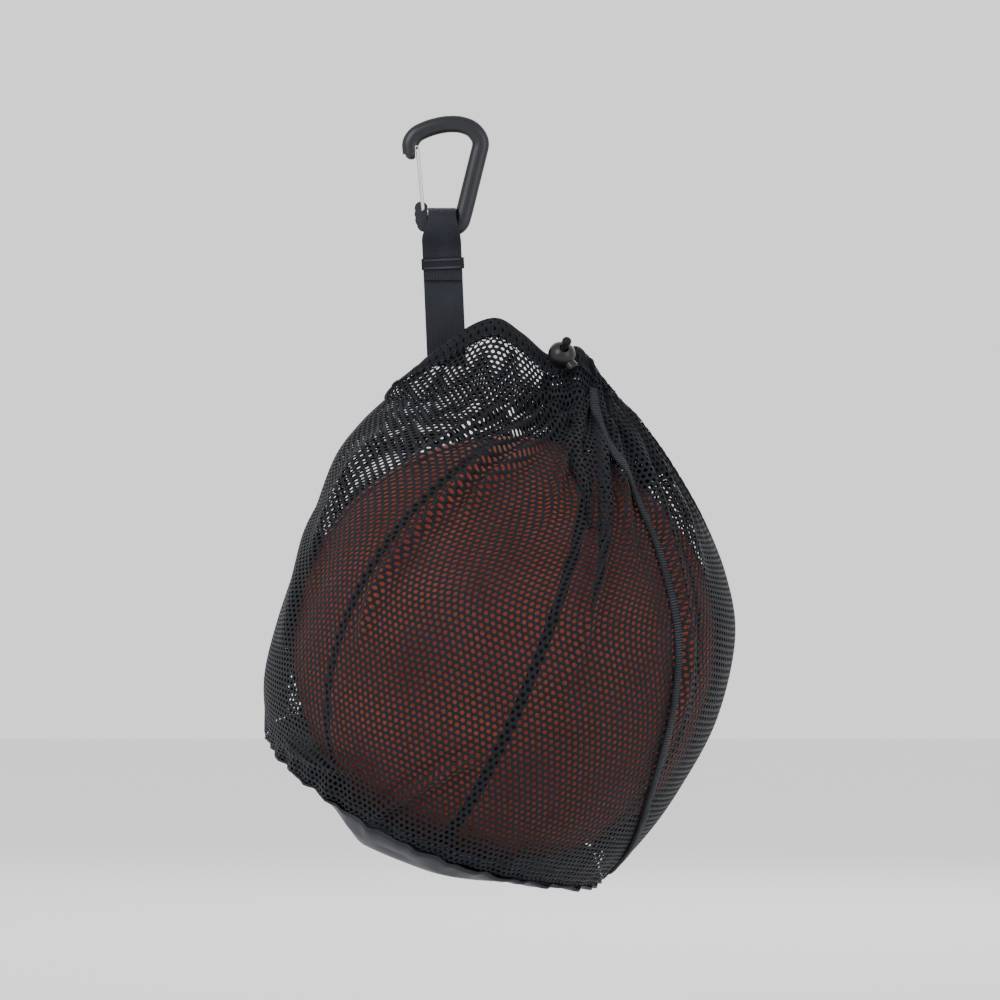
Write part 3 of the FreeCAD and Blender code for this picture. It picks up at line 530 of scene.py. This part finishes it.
def netTree():
    # lays a flat lattice of cells, then carries it on to the form by the form's own map
    tree = Tree("netLattice", {
        "Form": ("NodeSocketObject", None), "Cell": ("NodeSocketObject", None),
        "Columns": ("NodeSocketInt", 40), "Rows": ("NodeSocketInt", 90),
        "First": ("NodeSocketInt", 0), "Around": ("NodeSocketInt", 200),
        "Material": ("NodeSocketMaterial", None),
    })
    given = tree.given.outputs
    count = tree.math("MULTIPLY", given["Columns"], given["Rows"])
    index = tree.add("GeometryNodeInputIndex").outputs[0]
    column = tree.math("MODULO", index, given["Columns"])
    row = tree.math("FLOOR", tree.math("DIVIDE", index, given["Columns"]))
    shift = tree.math("MULTIPLY", tree.math("MODULO", row, 2.0), 0.5)
    across = tree.math("ADD", tree.math("ADD", column, given["First"]), shift)
    place = tree.add("ShaderNodeCombineXYZ", {"X": across, "Y": row}).outputs[0]
    points = tree.add("GeometryNodePoints", {"Count": count, "Position": place})
    cell = tree.add("GeometryNodeObjectInfo", {"Object": given["Cell"]})
    cells = tree.add("GeometryNodeInstanceOnPoints",
                     {"Points": points.outputs[0], "Instance": cell.outputs["Geometry"]})
    real = tree.add("GeometryNodeRealizeInstances", {"Geometry": cells.outputs[0]})
    joined = tree.add("GeometryNodeMergeByDistance", {"Geometry": real.outputs[0], "Distance": 0.01})
    flat = tree.add("GeometryNodeInputPosition").outputs[0]
    parts = tree.add("ShaderNodeSeparateXYZ", {0: flat})
    u = tree.math("DIVIDE", parts.outputs["X"], given["Around"])
    v = tree.math("DIVIDE", tree.math("ADD", parts.outputs["Y"], 0.7), tree.math("ADD", given["Rows"], 0.4))
    spot = tree.add("ShaderNodeCombineXYZ", {"X": u, "Y": v}).outputs[0]
    form = tree.add("GeometryNodeObjectInfo", {"Object": given["Form"]})
    shape = tree.add("GeometryNodeInputPosition").outputs[0]
    uvMap = tree.add("GeometryNodeInputNamedAttribute", {"Name": "flat"}, data_type="FLOAT_VECTOR").outputs[0]
    sample = tree.add("GeometryNodeSampleUVSurface", data_type="FLOAT_VECTOR")
    tree.group.links.new(form.outputs["Geometry"], sample.inputs["Mesh"])
    tree.group.links.new(shape, sample.inputs["Value"])
    tree.group.links.new(uvMap, sample.inputs["Source UV Map"])
    tree.group.links.new(spot, sample.inputs["Sample UV"])
    placed = tree.add("GeometryNodeSetPosition",
                      {"Geometry": joined.outputs[0], "Position": sample.outputs["Value"]})
    tree.finish(placed.outputs[0], given["Material"])
    return tree


def uvForm(name, spots, columns, rows, low=-0.03, high=1.03):
    # a fine form of the cloth whose map is the flat cut, a little past one whole turn
    u, v = np.meshgrid(np.linspace(low, high, columns), np.linspace(0, 1, rows))
    verts = spots(u, v).reshape(-1, 3)
    uv = np.stack([u.ravel() - low, v.ravel()], axis=-1)
    return pieceFrom(name, verts, gridFaces(columns, rows), mats["net"], uv)


def thicken(piece):
    # the yarn's own thickness
    wall = piece.modifiers.new("yarn", "SOLIDIFY")
    wall.thickness = net["thick"]
    wall.offset = 0.0


def buildNet():
    # the mesh tube, in gores, each baked as a mesh of its own
    def spots(u, v):
        return bagSpots(u, levelAt(u[0], v[:, 0], net["topLevel"]))

    low, high = -hem["ends"], 1 + hem["ends"]
    form = uvForm("netForm", spots, 720, 220, low, high)
    cell = netCell(net["hole"])
    tree = netTree()
    width = net["columns"] // net["gores"]
    made = []
    for k in range(net["gores"]):
        piece = emptyPiece("netGore%d" % (k + 1))
        tree.apply(piece, Form=form, Cell=cell, Columns=width, Rows=net["rows"],
                   First=width * k - int(low * net["columns"]), Around=net["columns"],
                   Material=mats["net"])
        piece = baked(piece, "mesh_net_%d" % (k + 1), mats["net"])
        thicken(piece)
        made.append(piece)
    bpy.data.objects.remove(form)
    for piece in made:
        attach(piece, "bag")
    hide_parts("mesh_tube")
    print("net cells:", net["columns"] * net["rows"])
    return cell, tree


hem = {
    "columns": 150,
    "rows": 7,
    "shift": 0.0025,                    # the inner ply's cells lie between the outer one's
    "nest": 0.015,
    "levels": (0.944, 0.9985),          # where the band starts and where it folds over
    "bend": 0.55,
    "inset": 5.6,                       # the inner ply's way in from the outer one
    "ends": 0.03,                       # the form runs on past the cells
}


def buildHem(cell, tree):
    # the mouth: the same net folded over the cord, outside up, over the top and down inside
    start, fold = hem["levels"]

    def spots(u, v):
        turned = 0.5 - 0.5 * np.cos(np.pi * np.clip(v, 0, 1))
        level = start + (fold - start) * np.sin(np.pi * np.clip(v, 0, 1)) ** hem["bend"]
        outer = bagSpots(u, level, lift=0.35)
        inner = bagSpots(u, level, lift=0.0, inset=hem["inset"])
        return outer * (1 - turned[..., None]) + inner * turned[..., None]

    low, high = -0.03, 1.03
    made = []
    for ply in range(2):
        def plySpots(u, v, ply=ply):
            shifted = u + hem["shift"] * ply
            if ply == 0:
                return spots(shifted, v)
            return (1 - hem["nest"]) * spots(shifted, v) + hem["nest"] * spots(shifted, 1 - v)

        form = uvForm("hemForm", plySpots, 520, 26, low, high)
        piece = emptyPiece("hemNet")
        tree.apply(piece, Form=form, Cell=cell, Columns=hem["columns"], Rows=hem["rows"],
                   First=-int(low * hem["columns"]), Around=hem["columns"],
                   Material=mats["hem"])
        piece = baked(piece, "hem_net_%d" % (ply + 1), mats["hem"])
        thicken(piece)
        bpy.data.objects.remove(form)
        made.append(piece)
    for piece in made:
        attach(piece, "bag")
    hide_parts("hem_channel")
    bpy.data.objects.remove(cell)


tucks = {
    # name: share round the bag, lowest level in front and behind, top level, cells, flat size
    "patches": {
        "mesh_tucks_gather": ((-0.31, 0.33), (0.79, 0.76), 0.950, (128, 18), (0.27, 0.065)),
        "mesh_tucks_right": ((-0.04, 0.095), (0.02, 0.02), 0.800, (27, 72), (0.10, 0.25)),
        "mesh_tucks_left": ((0.43, 0.525), (0.02, 0.02), 0.540, (19, 46), (0.07, 0.155)),
    },
    "inset": 2.2,
    "shift": 0.008,
    "hole": 0.34,
}

rolls = {
    # centre lines (x, z) of the two fat pleats that fall from the gather, and their half width
    "lines": [([(76, -148), (72, -160), (68.5, -175), (70, -190), (75, -206), (77, -222)], 3.9),
              ([(79.5, -149), (81.5, -165), (84, -188), (85, -212), (83, -240), (77, -268)], 4.1)],
    "flat": 0.72,                       # depth against width
    "pitch": 3.6,
    "columns": 7,
}


def buildTucks(tree):
    # the plies of slack cloth that crowd inside the bag, seen as a dark second layer
    cell = netCell(tucks["hole"])
    edge = 0.08                         # the form runs on past the cells at both ends
    for name, ((first, last), lows, top, (columns, rows), flat) in tucks["patches"].items():
        def spots(u, v):
            v = np.clip(v, 0, 1)
            around = first + (last - first) * u
            low = lows[0] + (lows[1] - lows[0]) * smooth(around, -0.10, 0.02)
            low = low + 0.25 * max(lows[0] - 0.1, 0) * (0.12 + 0.12 * np.sin(19 * u + 1))
            level = low + (top - low) * v
            around = around + 0.008 * np.sin(11 * v + 0.4) + 0.004 * np.sin(29 * v)
            return bagSpots(around + tucks["shift"], level, inset=tucks["inset"])

        form = uvForm("tuckForm", spots, 420, 120, -edge, 1 + edge)
        piece = emptyPiece("tuckNet")
        tree.apply(piece, Form=form, Cell=cell, Columns=columns, Rows=rows,
                   First=int(edge * columns + 0.5), Around=columns, Material=mats["hem"])
        piece = baked(piece, name, mats["hem"])
        thicken(piece)
        bpy.data.objects.remove(form)
        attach(piece, "bag")
    bpy.data.objects.remove(cell)
    print("tucks made:", len(tucks["patches"]))


def frontDepth():
    # a look-up of the bag's front face, from x and z to y, in millimetres
    turn, level = np.meshgrid(np.linspace(-np.pi, 0, 160), np.linspace(0.3, 0.94, 160))
    return bareBag(turn, level).reshape(-1, 3)


def buildRolls(cell, tree):
    front = frontDepth()
    for number, (points, half) in enumerate(rolls["lines"]):
        line = threaded(points, 10)
        near = [np.argmin(np.hypot(front[:, 0] - x, front[:, 2] - z)) for x, z in line]
        y = front[near, 1]
        for again in range(6):
            y[1:-1] = (y[:-2] + 2 * y[1:-1] + y[2:]) / 4
        centre = np.stack([line[:, 0], y - 1.2, line[:, 1]], axis=-1)
        way = np.gradient(centre, axis=0)
        way /= np.linalg.norm(way, axis=-1, keepdims=True)
        across = np.cross(way, (0, -1, 0))
        across /= np.linalg.norm(across, axis=-1, keepdims=True)
        out = np.cross(across, way)
        reach = np.concatenate([[0], np.cumsum(np.linalg.norm(np.diff(centre, axis=0), axis=-1))])
        share = reach / reach[-1]

        def spots(u, v, centre=centre, across=across, out=out, share=share, half=half):
            def along(values, v):
                return np.stack([np.interp(v, share, values[:, c]) for c in range(3)], axis=-1)
            v = np.clip(v, 0, 1)
            fat = half * (0.62 + 0.38 * smooth(v, 0.0, 0.3)) * (1 - 0.75 * smooth(v, 0.5, 1.0))
            turn = 2 * np.pi * u
            rough = 1 + 0.07 * np.sin(5 * turn + 22 * v)
            ring = along(across, v) * (np.cos(turn) * fat * rough)[..., None]
            ring = ring + along(out, v) * (np.sin(turn) * fat * rough * rolls["flat"])[..., None]
            return (along(centre, v) + ring) * mm

        edge = 0.1
        form = uvForm("rollForm", spots, 90, 200, -edge, 1 + edge)
        rowCount = int(reach[-1] / rolls["pitch"])
        piece = emptyPiece("rollNet")
        tree.apply(piece, Form=form, Cell=cell, Columns=rolls["columns"], Rows=rowCount,
                   First=int(edge * rolls["columns"] + 0.5), Around=rolls["columns"],
                   Material=mats["hem"])
        piece = baked(piece, "mesh_pleat_%d" % (number + 1), mats["hem"])
        thicken(piece)
        bpy.data.objects.remove(form)
        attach(piece, "bag")
    print("pleats made")


cell, tree = buildNet()
buildTucks(tree)
buildRolls(cell, tree)
buildHem(cell, tree)


# ---- the base

base = {
    "centre": (-9.6, 21.7, -378.0),
    "radius": 103.4,
    "lip": 1.0,
    "bulge": 26.0,
    "skew": -0.16,                      # the ball presses deeper to the left
    "thick": 0.0013,
}


def buildBase():
    # a round panel of coated cloth, dished by the ball and drawn up in small tucks at its rim
    along = Vector((92.95, 0, -43.55)).normalized()
    rear = Vector((0.0922, 0.976, 0.1977)).normalized()
    normal = along.cross(rear).normalized()
    if normal.z < 0:
        normal = -normal
    rings, spokes = 44, 240
    verts = [Vector(base["centre"]) - normal * base["bulge"]]
    for j in range(1, rings + 1):
        r = j / rings
        for i in range(spokes):
            a = 2 * math.pi * i / spokes
            tuck = 0.8 * math.sin(40 * a + 0.4) + 0.7 * math.sin(23 * a) + 0.4 * math.sin(67 * a)
            edge = max(0.0, (r - 0.80) / 0.20) ** 1.6
            push = 1 + base["skew"] * r * math.cos(a)
            across = base["radius"] * r * math.cos(a)
            push *= 1 + 0.10 * math.exp(-((across + 34) / 26) ** 2)
            push *= 0.12 + 0.88 * float(smooth(across, -66, -26))
            push *= 1 - 0.45 * float(smooth(across, 10, 80))
            dip = base["lip"] + (base["bulge"] * push - base["lip"]) * max(0.0, 1 - r ** 2.6) ** 0.8
            crease = 1.3 * math.exp(-((r - 0.86) / 0.05) ** 2) * math.sin(9 * a + 1)
            spot = Vector(base["centre"]) + (along * math.cos(a) + rear * math.sin(a)) * (
                base["radius"] * r + edge * tuck * 0.8)
            spot.z += float(rimLift(a)) * r * r
            verts.append(spot - normal * (dip + edge * tuck * 0.6 + crease))
    faces = [(0, 1 + (i + 1) % spokes, 1 + i) for i in range(spokes)]
    for j in range(rings - 1):
        for i in range(spokes):
            k = (i + 1) % spokes
            a, b = 1 + j * spokes, 1 + (j + 1) * spokes
            faces.append((a + i, a + k, b + k, b + i))
    piece = pieceFrom("base_cloth", [v * mm for v in verts], faces, mats["cloth"])
    wall = piece.modifiers.new("cloth", "SOLIDIFY")
    wall.thickness = base["thick"]
    wall.offset = 0.0
    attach(piece, "bag")
    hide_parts("base_panel")
    print("base panel made")


buildBase()


# ---- rows of stitches and ribs

def threadItem(name, long, wide, tall, rings=5, sides=6):
    # one stitch or rib along x: a bar with rounded ends, domed on top
    verts, faces = [], []
    for j in range(rings):
        t = -1 + 2 * j / (rings - 1)
        fat = math.sqrt(max(0.06, 1 - abs(t) ** 3))
        for i in range(sides):
            a = 2 * math.pi * i / sides
            verts.append((t * long / 2, math.cos(a) * wide / 2 * fat, math.sin(a) * tall / 2 * fat))
    for j in range(rings - 1):
        for i in range(sides):
            k = (i + 1) % sides
            faces.append((j * sides + i, (j + 1) * sides + i, (j + 1) * sides + k, j * sides + k))
    faces.append(tuple(range(sides)))
    faces.append(tuple(reversed(range((rings - 1) * sides, rings * sides))))
    item = pieceFrom(name, [(x * mm, y * mm, z * mm) for x, y, z in verts], faces, mats["thread"])
    item.hide_render = True
    return item


def rowTree():
    # one item on each point, its x along the point's way and its z along the point's out
    tree = Tree("threadRow", {"Item": ("NodeSocketObject", None), "Size": ("NodeSocketFloat", 1.0),
                              "Material": ("NodeSocketMaterial", None)})
    given = tree.given.outputs
    points = tree.add("GeometryNodeMeshToPoints", {"Mesh": given["Geometry"]})
    out = tree.add("GeometryNodeInputNamedAttribute", {"Name": "out"}, data_type="FLOAT_VECTOR").outputs[0]
    way = tree.add("GeometryNodeInputNamedAttribute", {"Name": "way"}, data_type="FLOAT_VECTOR").outputs[0]
    turn = tree.add("FunctionNodeAxesToRotation", {"Primary Axis": out, "Secondary Axis": way},
                    primary_axis="Z", secondary_axis="X")
    item = tree.add("GeometryNodeObjectInfo", {"Object": given["Item"]})
    placed = tree.add("GeometryNodeInstanceOnPoints",
                      {"Points": points.outputs[0], "Instance": item.outputs["Geometry"],
                       "Rotation": turn.outputs[0], "Scale": given["Size"]})
    real = tree.add("GeometryNodeRealizeInstances", {"Geometry": placed.outputs[0]})
    tree.finish(real.outputs[0], given["Material"])
    return tree


rows = rowTree()


def stitchRow(name, item, spots, ways, outs, body, mat, replaced=()):
    spots = np.asarray(spots, float).reshape(-1, 3)
    holder = pieceFrom(name + "Points", spots, [], mat)
    for label, values in (("way", ways), ("out", outs)):
        data = holder.data.attributes.new(label, "FLOAT_VECTOR", "POINT")
        data.data.foreach_set("vector", np.asarray(values, np.float32).reshape(-1, 3).ravel())
    rows.apply(holder, Item=item, Size=1.0, Material=mat)
    piece = baked(holder, name, mat)
    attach(piece, body)
    if replaced:
        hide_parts(*replaced)
    return piece


seam = {
    "passes": 70,                       # how often the tape's line is smoothed
    "columns": 9,
    "crown": 0.55,
    # level and degrees round the bag, from the base up to the gather
    "path": [(0.03, -8), (0.09, -18), (0.18, -29), (0.28, -36), (0.38, -40), (0.48, -44),
             (0.58, -47), (0.68, -49), (0.78, -51), (0.86, -50), (0.93, -46)],
    "wide": 5.2,
    "thick": 0.9,
    "lift": 1.3,
    "ribPitch": 1.5,
}


def aroundOf(turn, level):
    # the cloth's share for an angle, the other way from clothTurn
    power = 1 + bag["gatherPower"] * smooth(level, bag["gatherFrom"], bag["hemLevel"])
    return 0.5 * np.sign(turn) * (np.abs(turn) / np.pi) ** (1 / power)


def buildSideSeam():
    # a crowned tape with close ribs of overlock thread across it
    line = threaded(seam["path"], 30)
    level, turn = line[:, 0], np.radians(line[:, 1])
    spots, up, side, out = surfaceFrame(aroundOf(turn, level), level, 0.2)
    spots = spots + out * (seam["lift"] * smooth(level, 0.03, 0.10) * mm)[:, None]
    steps = np.linalg.norm(np.diff(spots, axis=0), axis=-1)
    reach = np.concatenate([[0], np.cumsum(steps)])
    count = int(reach[-1] / (seam["ribPitch"] * mm))
    even = np.linspace(0, reach[-1], count)

    def evenly(values):
        return np.stack([np.interp(even, reach, values[:, c]) for c in range(3)], axis=-1)

    spots, out = evenly(spots), evenly(out)
    for turnAgain in range(seam["passes"]):
        spots[1:-1] = (spots[:-2] + 2 * spots[1:-1] + spots[2:]) / 4
        out[1:-1] = (out[:-2] + 2 * out[1:-1] + out[2:]) / 4
    way = np.gradient(spots, axis=0)
    way /= np.linalg.norm(way, axis=-1, keepdims=True)
    across = np.cross(way, out)
    across /= np.linalg.norm(across, axis=-1, keepdims=True)
    out = np.cross(across, way)
    columns = seam["columns"]
    verts = []
    for k in range(columns):
        t = -1 + 2 * k / (columns - 1)
        verts.append(spots + across * (t * seam["wide"] / 2 * mm) + out * ((1 - t * t) * seam["crown"] * mm))
    grid = np.stack(verts, axis=1).reshape(-1, 3)
    tape = pieceFrom("side_seam_tape", grid, gridFaces(columns, count), mats["tape"])
    wall = tape.modifiers.new("tape", "SOLIDIFY")
    wall.thickness = seam["thick"] * mm
    wall.offset = 0.0
    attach(tape, "bag")
    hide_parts("side_seam_binding")
    rib = threadItem("seamRib", seam["wide"] + 0.2, 0.85, 0.9, 5, 6)
    stitchRow("side_seam_ribs", rib, spots + out * 1.0 * mm, across, out, "bag",
              mats["ribThread"], ["side_seam_stitches"])
    print("side seam ribs:", count)


def buildNetStitches():
    item = threadItem("lockStitch", 3.0, 0.62, 0.55)
    around = np.linspace(0, 1, 150, endpoint=False)
    spots, up, side, out = surfaceFrame(around, np.full(150, 0.022), 0.35)
    stitchRow("base_stitch_row", item, spots, side, out, "bag", mats["thread"],
              ["base_seam_stitches"])
    around = np.linspace(0, 1, 170, endpoint=False)
    first = surfaceFrame(around, np.full(170, 0.949), 0.75)
    second = surfaceFrame(around, np.full(170, 0.955), 0.75)
    spots = np.concatenate([first[0], second[0]])
    stitchRow("hem_stitch_rows", item, spots, np.concatenate([first[2], second[2]]),
              np.concatenate([first[3], second[3]]), "bag", mats["thread"], ["hem_stitches"])
    print("stitch rows made")


buildSideSeam()
buildNetStitches()


# ---- the strap

strap = {
    "wide": 21.6,
    "thick": 1.5,
    "ribs": 13,
    "ribDeep": 0.16,
    "loop": (-6.3, -50.8, 7.9),         # centre x and z of the loop, and its middle radius
    "root": (-3.9, -106.0),
    "tail": -131.0,
    "frontEnd": -83.0,
    "neck": 15.2,                       # width where it passes through the carabiner
}


def strapSpots():
    # side view (y, z) of the webbing from its sewn tail up the rear, over and down the front
    cz, radius = strap["loop"][1:]
    half = strap["thick"] / 2 + 0.06
    rear = [(-0.6, strap["tail"]), (0.0, -118), (half, -106), (half, -96), (half, -80), (half, -70)]
    rear += [(2.4, -64), (5.6, -58.5), (radius - 0.4, -54)]
    over = [(radius * math.cos(a), cz + radius * math.sin(a)) for a in np.linspace(0.05, math.pi - 0.05, 9)]
    front = [(-y, z) for y, z in reversed(rear[4:])]
    front.append((-half, strap["frontEnd"]))
    return threaded(rear + over + front, 7)


def buildStrap():
    line = strapSpots()
    columns = 8 * strap["ribs"] + 1
    way = np.gradient(line, axis=0)
    way /= np.linalg.norm(way, axis=-1, keepdims=True)
    out = np.stack([way[:, 1], -way[:, 0]], axis=-1)
    t = np.linspace(-1, 1, columns)
    rib = np.abs(np.sin(np.pi * strap["ribs"] * (t + 1) / 2)) ** 0.7 * strap["ribDeep"]
    cx, cz, radius = strap["loop"]
    slope = (strap["root"][0] - cx) / (strap["root"][1] - cz)
    verts, uv = [], []
    reach = 0.0
    for k, (y, z) in enumerate(line):
        narrow = float(smooth(z, -60.5, -47))
        wide = strap["wide"] + (strap["neck"] - strap["wide"]) * narrow
        middle = cx + slope * (z - cz) + 1.0 * narrow
        edge = 1.0 - 0.35 * np.abs(t) ** 12
        for i in range(columns):
            lift = rib[i] * edge[i]
            verts.append(((middle + t[i] * wide / 2) * mm, (y + out[k, 0] * lift) * mm,
                          (z + out[k, 1] * lift) * mm))
            uv.append(((t[i] + 1) * strap["wide"] / 2 * mm, reach * mm))
        if k + 1 < len(line):
            reach += float(np.linalg.norm(line[k + 1] - line[k]))
    piece = pieceFrom("strap_ribbon", verts, gridFaces(columns, len(line)), mats["web"], uv)
    wall = piece.modifiers.new("webbing", "SOLIDIFY")
    wall.thickness = strap["thick"] * mm
    wall.offset = 0.0
    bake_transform(piece)
    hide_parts("strap_webbing", "strap_tab")
    print("strap made, %.0f mm of webbing" % reach)


buildStrap()


# ---- what stays from the frame, with its finish

def finishNodes():
    finish = {
        "carabiner_body": "frame", "carabiner_gate_wire": "wire", "strap_webbing": "web",
        "strap_tab": "web", "strap_fold_tape": "tape", "strap_bartacks": "thread",
        "strap_box_stitch": "thread", "side_seam_binding": "tape",
        "side_seam_stitches": "thread", "base_seam_binding": "tape",
        "base_seam_stitches": "thread", "hem_stitches": "thread", "drawcord": "cord",
        "drawcord_knot": "cord", "cord_lock_body": "gloss", "cord_lock_button": "gloss",
        "cord_lock_spring": "wire", "ball_carcass": "rib", "ball_bladder": "rib",
        "ball_valve": "rib", "ball_seam_ribs": "rib",
    }
    for name in frame["nodes"]:
        obj = bpy.data.objects.get(name)
        if obj is None:
            continue
        kind = "cover" if name.startswith("ball_panel") else finish.get(name, "net")
        obj.data.materials.clear()
        obj.data.materials.append(mats[kind])


finishNodes()


# ---- floor, light and camera

def buildStage():
    floorMat, tree, bsdf = principled("paleFloor", (0.86, 0.86, 0.86), 0.9)
    floor = pieceFrom("floor", [(-6, -6, view["floor"]), (6, -6, view["floor"]),
                                (6, 6, view["floor"]), (-6, 6, view["floor"])], [(0, 1, 2, 3)], floorMat)
    world = bpy.data.worlds.new("studio")
    bpy.context.scene.world = world
    world.use_nodes = True
    back = world.node_tree.nodes["Background"]
    back.inputs["Color"].default_value = (1, 1, 1, 1)
    back.inputs["Strength"].default_value = 1.3
    for name, spot, power, wide in (("keyLight", (-1.3, -1.7, 0.9), 34, 1.2),
                                    ("fillLight", (1.6, -1.5, 0.2), 16, 1.4),
                                    ("rearLight", (0.4, 1.8, 0.9), 16, 1.4)):
        lamp = bpy.data.lights.new(name, "AREA")
        lamp.energy = power
        lamp.size = wide
        obj = bpy.data.objects.new(name, lamp)
        obj.location = spot
        aim = Vector((view["middle"][0], 0, view["middle"][1])) - Vector(spot)
        obj.rotation_euler = aim.to_track_quat("-Z", "Y").to_euler()
        bpy.context.scene.collection.objects.link(obj)
    lens = bpy.data.cameras.new("camera")
    lens.sensor_width = 36.0
    lens.lens = 36.0 * view["distance"] / view["width"]
    lens.clip_end = 60.0
    camera = bpy.data.objects.new("camera", lens)
    camera.location = (view["middle"][0], -view["distance"], view["middle"][1])
    camera.rotation_euler = (math.radians(90), 0, 0)
    bpy.context.scene.collection.objects.link(camera)
    bpy.context.scene.camera = camera


buildStage()
